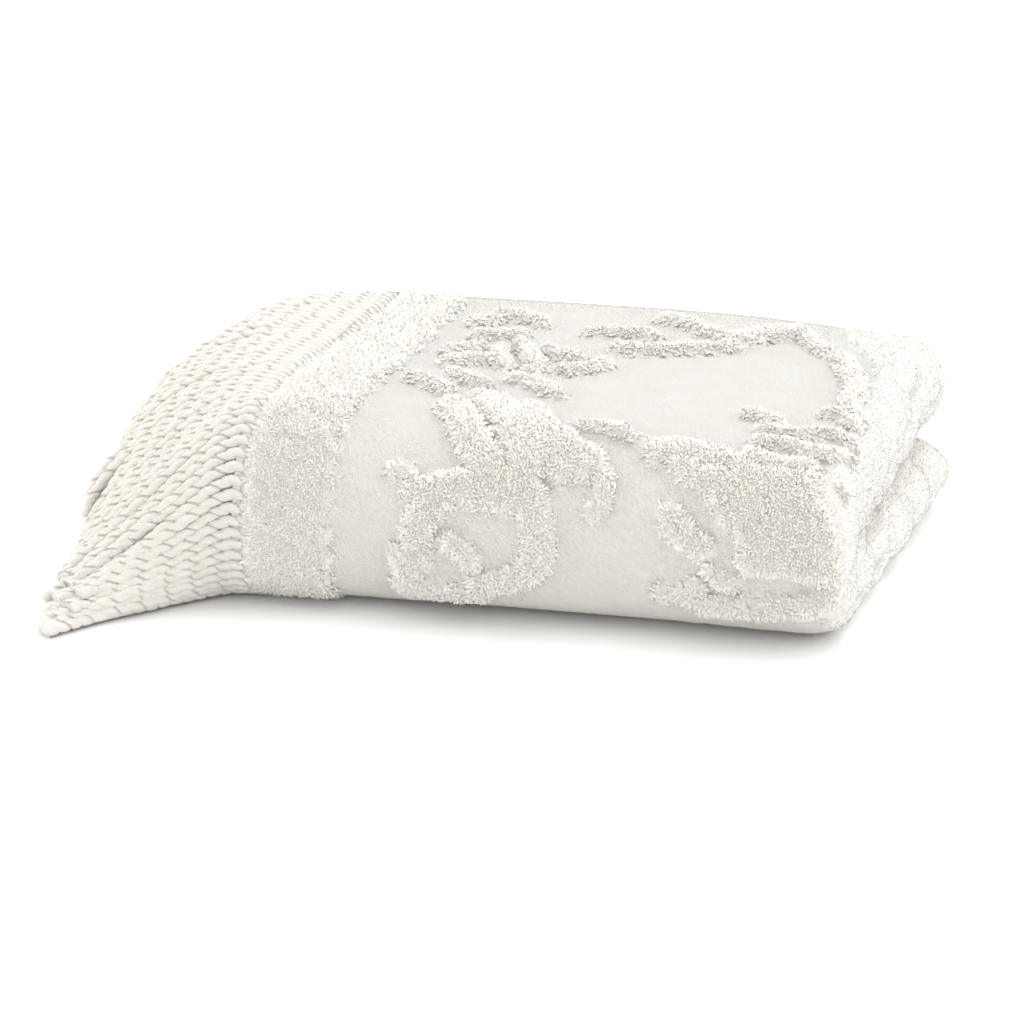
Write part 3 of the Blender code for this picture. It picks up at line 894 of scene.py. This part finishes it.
def comb_of(share, front=0.0):
    """The way the pile falls at each grid point: down its edges, and over the cords' roots."""
    along, across = np.gradient(upper, lines_a, lines_b, axis=(0, 1))
    slope_a, slope_b = np.gradient(share, lines_a, lines_b)
    along_size = (along ** 2).sum(axis=-1, keepdims=True)
    across_size = (across ** 2).sum(axis=-1, keepdims=True)
    fall = -slope_a[..., None] * along / along_size - slope_b[..., None] * across / across_size
    fall = fall * COMB_SPREAD
    size = np.linalg.norm(fall, axis=-1, keepdims=True)
    fall = fall * np.minimum(1.0, 1.0 / np.maximum(size, 1e-6))
    in_front = smooth(1 - (grid_a - roots_line(outer_t(grid_b))) / ROOT_COMB_LENGTH)
    return fall - along / np.sqrt(along_size) * (front * in_front[..., None])


# %% Cut the beds
BED_SHARE = 0.12
BED_HEIGHT = 0.0045
CROWDED_OUT = 4


def make_bed(name, share, comb):
    """The part of the outer face that carries pile, as an open patch."""
    index = np.arange(rows * columns).reshape(rows, columns)
    top = np.stack([index[:-1, :-1], index[:-1, 1:], index[1:, 1:], index[1:, :-1]], axis=-1)
    face_share = share.ravel()[top].mean(axis=-1)
    height = upper[..., 2].ravel()[top].min(axis=-1)
    kept = top[(face_share > BED_SHARE) & (height > BED_HEIGHT)]
    used, faces = np.unique(kept, return_inverse=True)
    mesh = mesh_from(name, upper.reshape(-1, 3)[used], faces.reshape(-1, 4))
    add_share(mesh, "pile", share.ravel()[used])
    layer = mesh.attributes.new("comb", "FLOAT_VECTOR", "POINT")
    layer.data.foreach_set("vector", comb.reshape(-1, 3)[used].astype(np.float32).ravel())
    return placed(name, mesh)


bare = smooth(1 - scroll_share * CROWDED_OUT)
plush_cover = plush_share / PLUSH_HEIGHT * bare
scroll_bed = make_bed("scroll_bed", scroll_share, comb_of(scroll_share))
border_cover = band_share / BAND_HEIGHT * bare
band_bed = make_bed("band_bed", border_cover, comb_of(band_share, BORDER_COMB))
plush_bed = make_bed("plush_bed", plush_cover, comb_of(plush_share))

# %% Tuft the beds
scrolls = grown("tufted_scrolls", scroll_bed, tufting, {
    "Lock": lock, "Spacing": 0.00098, "Density": 1200000.0, "Lean": 0.6,
    "Shortest": 0.85, "Longest": 1.25, "Softness": 0.95, "Seed": 4,
})
border = grown("tufted_border", band_bed, tufting, {
    "Lock": lock, "Spacing": 0.00104, "Density": 1100000.0, "Lean": 0.7,
    "Shortest": 0.75, "Longest": 1.20, "Softness": 0.95, "Seed": 9,
})
plush = grown("plush_end", plush_bed, plush_tufting, {
    "Lock": lock, "Spacing": 0.0016, "Density": 450000.0, "Lean": 0.9,
    "Shortest": 0.40, "Longest": 0.70, "Softness": 0.95, "Seed": 6,
})
bpy.data.objects.remove(lock, do_unlink=True)
cloth = placed("throw_cloth", cloth_mesh)

# %% [markdown]
# ## The twisted fringe
#
# Each end of the sheet has a narrow heading, and cords hang from it. Four rows of cords leave the
# left side: two belong to the end that lies outside, two to the end inside it. Seen from the left,
# each row's roots follow the folded layer, like a C. The cords fall to the table and their tips
# make a lower, longer C there: those from the front splay forwards over the table, and those from
# the top arch over the rows below. Each row's tips lie a little inside those of the row around it.
#
# The cords of the outermost row start under the border's pile, so that no heading shows between
# them. Every cord wavers a little, swells in its middle, and has its own length; a few reach
# further than their neighbours, as loose ends do.

# %% Sizes of the fringe
CORD_PITCHES = (0.0078, 0.0078, 0.0125, 0.0125)
CORD_RADIUS = 0.0042
CORD_STATIONS = 44
HEADING = 0.006
PARTING = 0.0005
CREASE_CLEAR = 0.007
CORD_NUMBERS = 100
LEVEL_START = 0.008
LEAD_HEIGHTS = np.array((-0.0045, -0.0030, -0.0018, -0.0008))
TipPlace = namedtuple("TipPlace", "share y z reach fullness")
TIP_PLACES = (
    TipPlace(-1.00, 0.132, 0.003, 0.136, 1.00),
    TipPlace(-0.60, -0.060, 0.003, 0.124, 0.90),
    TipPlace(-0.30, -0.215, 0.003, 0.103, 0.85),
    TipPlace(-0.18, -0.246, 0.003, 0.098, 0.80),
    TipPlace(0.00, -0.226, 0.006, 0.103, 0.85),
    TipPlace(0.15, -0.190, 0.012, 0.106, 1.00),
    TipPlace(0.30, -0.135, 0.022, 0.112, 1.25),
    TipPlace(0.45, -0.078, 0.031, 0.118, 1.65),
    TipPlace(0.60, -0.015, 0.037, 0.126, 2.05),
    TipPlace(0.80, 0.065, 0.043, 0.124, 2.40),
    TipPlace(1.00, 0.140, 0.042, 0.110, 2.30),
)
TIP_MIDDLE = 0.0225
TIP_HALF = 0.0195
TIP_STEP = 0.0050
TOE_STEP = 0.010
REACH_STEP = 0.003
TIP_WAVER = 0.0016
REACH_WAVER = 0.003
LOOSE_END = 0.011
LOOSE_FROM = 0.75
TIP_TURN = 0.97
LEVEL_TURN = 0.3
SPLAY = 1.15
WAVER_GROWS_OVER = 0.060
LEAD_LENGTH = 0.008
FLOOR_GAP = 0.0010
Waver = namedtuple("Waver", "spread wave_length offset")
WAVERS = (Waver(0.0015, 0.150, 0.5), Waver(0.0010, 0.062, 0.9))


def variation(number):
    """A fixed uneven value from -1 to 1 for each number."""
    return 2 * ((np.sin(number * 12.9898) * 43758.5453) % 1.0) - 1


def row_across(number, arm, way):
    """The place across the sheet of a place along a row's C round the front fold."""
    bend = pi * arm
    half = np.where(
        way < FLAT_T, way,
        np.where(way < FLAT_T + bend, FLAT_T + (way - FLAT_T) * FRONT_RADIUS / arm,
                 way - bend + pi * FRONT_RADIUS))
    return half if number in (0, 3) else WIDTH - half


def tip_places(number, share):
    """Where a row's tips lie, how far out they reach, and how full their arches are."""
    table = np.array(TIP_PLACES)
    y, z, reach, fullness = (np.interp(share, table[:, 0], table[:, i]) for i in range(1, 5))
    back, toe = table[:, 1].max(), table[:, 1].min()
    y = y + number * TOE_STEP * (back - y) / (back - toe)
    z = TIP_MIDDLE + (z - TIP_MIDDLE) * (1 - number * TIP_STEP / TIP_HALF)
    return y, z, reach - number * REACH_STEP, fullness


print("tips spread over %.0f mm" % (1000 * np.ptp([place.y for place in TIP_PLACES])))


# %% Give the cords their thickness
ROOT_THICK = 0.85
ROOT_SWELL = 0.15
ROOT_SWELLS_OVER = 0.08
MIDDLE_SWELL = 0.10
THICK_VARIES = 0.08
TIP_TAPER = 0.40
TIP_TAPERS_FROM = 0.95
TIP_TAPERS_OVER = 0.05


def cord_thickness(cord):
    """How thick each cord is along its way, as a share of the usual radius."""
    along = np.linspace(0, 1, CORD_STATIONS)
    thick = ROOT_THICK + ROOT_SWELL * smooth(along / ROOT_SWELLS_OVER)
    thick = thick * (1 + MIDDLE_SWELL * np.sin(pi * along))
    thick = thick * (1 + THICK_VARIES * variation(cord + 0.3)[:, None])
    return thick * (1 - TIP_TAPER * smooth((along - TIP_TAPERS_FROM) / TIP_TAPERS_OVER))


# %% Route the cords
def row_routes(number):
    """The middle lines of a row's cords, and how thick each is along its way."""
    inward = number * CLOTH + (number + 1) // 2 * FOLDS[0].gap + number // 2 * FOLDS[1].gap
    arm = FRONT_RADIUS + (thicks[3] - CLOTH) / 2 - inward
    length = 2 * FLAT_T + pi * arm
    room = length - CREASE_CLEAR
    count = round(room / CORD_PITCHES[number])
    way = (np.arange(count) + (0.25 if number % 2 else 0.75)) * room / count
    cord = number * CORD_NUMBERS + np.arange(count)
    edge = -PARTING - HEADING if number < 2 else LENGTH + PARTING + HEADING
    root = laid(edge, row_across(number, arm, way), 0.0)
    tip_y, tip_z, reach, fullness = tip_places(number, 1 - 2 * way / length)
    tip_y = tip_y + TIP_WAVER * variation(cord)
    reach = reach + REACH_WAVER * variation(cord + 0.37)
    loose = LOOSE_END * np.maximum(0, variation(cord + 0.71)) ** 6
    turn = np.linspace(0, 1, CORD_STATIONS) * pi / 2 * TIP_TURN
    power = 2 / fullness[:, None]
    out = np.sin(turn) ** power
    down = 1 - np.cos(turn) ** power
    out, down = out / out[:, -1:], down / down[:, -1:]
    x = LEVEL_START * np.minimum(1, turn / LEVEL_TURN) + (reach[:, None] - LEVEL_START) * out
    x = x + loose[:, None] * smooth((out - LOOSE_FROM) / (1 - LOOSE_FROM))
    y = root[:, 1:2] + (tip_y[:, None] - root[:, 1:2]) * out ** SPLAY
    z = root[:, 2:3] + (tip_z[:, None] - root[:, 2:3]) * down
    ramp = smooth(x / WAVER_GROWS_OVER)
    for waver in WAVERS:
        phase = 9 * variation(cord + waver.offset)[:, None]
        turns = 2 * pi * x / waver.wave_length
        y = y + waver.spread * np.sin(turns + phase) * ramp
        z = z + 0.5 * waver.spread * np.sin(turns * 1.3 + 2 * phase) * ramp
    thick = cord_thickness(cord)
    route = np.stack([root[:, 0:1] - x, y, z], axis=-1)
    if number == 0:
        across = row_across(0, arm, way)[:, None]
        back = (roots_line(outer_t(across)) + LEAD_LENGTH) * np.array((1.0, 0.75, 0.50, 0.25))
        lead = laid(back, across, LEAD_HEIGHTS)
        route = np.concatenate([lead, route], axis=1)
        first = np.repeat(thick[:, :1], len(LEAD_HEIGHTS), axis=1)
        thick = np.concatenate([first, thick], axis=1)
    route[..., 2] = np.maximum(route[..., 2], thick * CORD_RADIUS + FLOOR_GAP)
    return route, thick


routes = [row_routes(number) for number in range(4)]
for number, (points, _) in enumerate(routes):
    lengths = 1000 * np.linalg.norm(np.diff(points, axis=1), axis=-1).sum(axis=1)
    print("row %d: %d cords, %.0f to %.0f mm long" % (
        number, len(points), lengths.min(), lengths.max()))


# %% [markdown]
# A two-ply cord is two plies wound round each other. Its section is a figure of eight, and it turns
# once for every lay of the twist, here 18 to 22 mm. So one eight-shaped profile, swept along each
# route while the tilt grows with the length, gives the whole cord with its ridges and grooves. Each
# cord starts its twist at a slightly different angle, so that neighbours don't match exactly.
# Geometry Nodes do the sweep for all the cords of a row at once.

# %% Draw the section of a cord
TWIST_LAYS = (0.0180, 0.0180, 0.0200, 0.0220)
TWIST_STARTS = 0.22
PLY_ANGLES = np.radians((-58, -20, 20, 58, 90))
PLY_ARMS = np.array((0.95, 1.00, 1.00, 0.95, 0.76))


def make_profile():
    """A closed curve like a figure of eight: a full lobe for each ply, a narrow groove between."""
    arms = CORD_RADIUS * PLY_ARMS
    half = np.column_stack([arms * np.cos(PLY_ANGLES), arms * np.sin(PLY_ANGLES)])
    outline = np.concatenate([half, -half])
    data = bpy.data.curves.new("cord_section", "CURVE")
    data.dimensions = "3D"
    spline = data.splines.new("POLY")
    spline.points.add(len(outline) - 1)
    for point, (x, y) in zip(spline.points, outline):
        point.co = (x, y, 0, 1)
    spline.use_cyclic_u = True
    return placed("cord_section", data)


def make_lines(name, points, thick):
    """One open line for each cord."""
    data = bpy.data.curves.new(name, "CURVE")
    data.dimensions = "3D"
    for line, sizes in zip(points, thick):
        spline = data.splines.new("POLY")
        spline.points.add(len(line) - 1)
        spline.points.foreach_set("co", np.column_stack([line, np.ones(len(line))]).ravel())
        spline.points.foreach_set("radius", sizes)
    return placed(name, data)


# %% Build the twisting tree
FIBRES_ALONG = 400.0
FIBRES_ROUND = 4.0


def captured(tree, geometry, value, title):
    """Keep a value on a geometry, and give both."""
    node = add_node(tree, "GeometryNodeCaptureAttribute", domain="POINT")
    node.capture_items.new("FLOAT", title)
    tree.links.new(geometry, node.inputs["Geometry"])
    tree.links.new(value, node.inputs[title])
    return node.outputs["Geometry"], node.outputs[title]


def twisting_tree(name, material):
    """Sweep a section along every line, turning it once for every lay."""
    tree, given = begin_tree(name, (
        ("Section", "Object", None), ("Step", "Float", 0.0017), ("Lay", "Float", TWIST_LAYS[0])))
    divide = add_node(tree, "GeometryNodeResampleCurve", {
        "Curve": given["Geometry"], "Length": given["Step"]}, mode="LENGTH")
    along = add_node(tree, "GeometryNodeSplineParameter").outputs
    cord = add_node(tree, "GeometryNodeCurveOfPoint").outputs["Curve Index"]
    begin = add_node(tree, "FunctionNodeRandomValue", {
        3: TWIST_STARTS, "ID": cord}, data_type="FLOAT").outputs[1]
    lays = reckoned(tree, "DIVIDE", along["Length"], given["Lay"])
    angle = reckoned(tree, "MULTIPLY", reckoned(tree, "ADD", lays, begin), 2 * pi)
    tilt = add_node(tree, "GeometryNodeSetCurveTilt", {
        "Curve": divide.outputs["Curve"], "Tilt": angle})
    lines, length = captured(tree, tilt.outputs["Curve"], along["Length"], "Along")
    source = add_node(tree, "GeometryNodeObjectInfo", {
        "Object": given["Section"]}, transform_space="ORIGINAL")
    outline, factor = captured(tree, source.outputs["Geometry"], along["Factor"], "Round")
    sweep = add_node(tree, "GeometryNodeCurveToMesh", {
        "Curve": lines, "Profile Curve": outline, "Fill Caps": True})
    pair = add_node(tree, "ShaderNodeCombineXYZ", {
        "X": reckoned(tree, "MULTIPLY", length, FIBRES_ALONG),
        "Y": reckoned(tree, "MULTIPLY", factor, FIBRES_ROUND),
    })
    store = add_node(tree, "GeometryNodeStoreNamedAttribute", {
        "Geometry": sweep.outputs["Mesh"], "Name": "along_and_round", "Value": pair.outputs[0],
    }, data_type="FLOAT_VECTOR")
    soft = add_node(tree, "GeometryNodeSetShadeSmooth", {"Geometry": store.outputs["Geometry"]})
    real = add_node(tree, "GeometryNodeRealizeInstances", {"Geometry": soft.outputs["Geometry"]})
    return end_tree(tree, real.outputs["Geometry"], material)


twisting = twisting_tree("twisting", cord_cotton)
print("the twisting tree has", len(twisting.nodes), "nodes")

# %% Twist the four rows
ROW_NAMES = ("outer_cords_upper", "outer_cords_lower", "inner_cords_upper", "inner_cords_lower")
ROW_STEPS_ALONG = (0.0017, 0.0023, 0.0028, 0.0031)
section = make_profile()
cord_rows = []
for name, (points, thick), step, lay in zip(ROW_NAMES, routes, ROW_STEPS_ALONG, TWIST_LAYS):
    lines = make_lines(name + "_lines", points, thick)
    cord_rows.append(grown(name, lines, twisting, {"Section": section, "Step": step, "Lay": lay}))
bpy.data.objects.remove(section, do_unlink=True)


# %% [markdown]
# ## The headings
#
# Where the cords are drawn in, the cloth ends in a narrow heading with small swellings, as close as
# the cords of the outer rows. It is a slab like the cloth's, only as wide as the heading, thinner
# than the cords that cover it, and its thickness follows their pitch.

# %% Shape the headings
HEADING_STEPS = 588
HEADING_LINES = 5
HEADING_THIN = 0.30
HEADING_RIB = 0.25


def make_heading(name, start, end):
    """A ribbed strip along one end of the sheet, from one length to another."""
    lines = np.arange(0, WIDTH + 0.0001, WIDTH / HEADING_STEPS)
    across = np.linspace(start, end, HEADING_LINES)
    strip_a, strip_b = np.meshgrid(across, lines, indexing="ij")
    rib = HEADING_THIN + HEADING_RIB * np.cos(pi * strip_b / CORD_PITCHES[0]) ** 2
    middle = 1 - 0.35 * np.abs(np.linspace(-1, 1, HEADING_LINES)) ** 3
    half = CLOTH / 2 * rib * middle[:, None]
    points = np.concatenate([
        laid(strip_a, strip_b, side * half).reshape(-1, 3) for side in (1, -1)])
    points[:, 2] = np.maximum(points[:, 2], 0.0)
    mesh = mesh_from(name, points, slab_faces(*strip_a.shape))
    mesh.materials.append(cord_cotton)
    print(name, "volume %.1f cm3" % volume_of(mesh))
    return placed(name, mesh)


outer_heading = make_heading("outer_heading", -PARTING - HEADING, -PARTING)
inner_heading = make_heading("inner_heading", LENGTH + PARTING, LENGTH + PARTING + HEADING)

# %% [markdown]
# ## Studio
#
# A plain white floor, a bright even surround and four large soft lamps give the nearly shadowless
# look of a catalogue picture. The lamp high above and a little behind is slightly cool and makes
# the upper face the lightest. Those at the left, at the right and in front are warm and weaker, so
# the front falls off to a warm grey.

# %% Floor and surround
FLOOR_HALF = 6
FLOOR_COLOUR = (0.97, 0.97, 0.97)
SURROUND = (1.0, 0.996, 0.988)
SURROUND_STRENGTH = 0.98
corners = [(FLOOR_HALF * x, FLOOR_HALF * y, 0) for x, y in ((-1, -1), (1, -1), (1, 1), (-1, 1))]
floor_mesh = bpy.data.meshes.new("floor")
floor_mesh.from_pydata(corners, [], [(0, 1, 2, 3)])
floor = placed("floor", floor_mesh)
floor_paint = bpy.data.materials.new("floor_white")
floor_paint.use_nodes = True
paint = floor_paint.node_tree.nodes["Principled BSDF"].inputs
paint["Base Color"].default_value = (*FLOOR_COLOUR, 1)
paint["Roughness"].default_value = 0.9
floor_mesh.materials.append(floor_paint)

world = bpy.data.worlds.new("studio")
scene.world = world
world.use_nodes = True
sky = world.node_tree.nodes["Background"].inputs
sky["Color"].default_value = (*SURROUND, 1)
sky["Strength"].default_value = SURROUND_STRENGTH
scene.view_settings.view_transform = "Standard"

# %% Lamps
Lamp = namedtuple("Lamp", "name place aim width energy colour")
LAMPS = (
    Lamp("key", (0.4, 0.9, 2.2), (0, 0, 0), 2.5, 30, (0.95, 0.98, 1.0)),
    Lamp("left", (-2.6, -0.2, 1.2), (-0.1, 0, 0.05), 2.5, 22, (1.0, 0.975, 0.93)),
    Lamp("right", (2.6, 0.1, 1.2), (0.1, 0, 0.05), 2.5, 20, (1.0, 0.98, 0.95)),
    Lamp("front", (0.1, -3.2, 1.2), (0, 0, 0), 2.0, 13, (1.0, 0.97, 0.915)),
)
for lamp in LAMPS:
    light = bpy.data.lights.new(lamp.name, "AREA")
    light.shape = "SQUARE"
    light.size = lamp.width
    light.energy = lamp.energy
    light.color = lamp.colour
    thing = placed(lamp.name, light)
    thing.location = lamp.place
    away = Vector(lamp.place) - Vector(lamp.aim)
    thing.rotation_euler = away.to_track_quat("Z", "Y").to_euler()
print(len(LAMPS), "lamps,", sum(lamp.energy for lamp in LAMPS), "watts in all")

# %% [markdown]
# ## Attach the pieces
#
# Every piece rides on the one body, and the solid it stands for is hidden.

# %% Ride, and hide the solids they cover
for piece in (cloth, scrolls, border, plush):
    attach(piece, "root")
    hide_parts("throw")
fringe_pieces = cord_rows + [outer_heading, inner_heading]
outer, inner = "outer_fringe", "inner_fringe"
for piece, node in zip(fringe_pieces, (outer, outer, inner, inner, outer, inner)):
    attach(piece, "root")
    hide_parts(node)
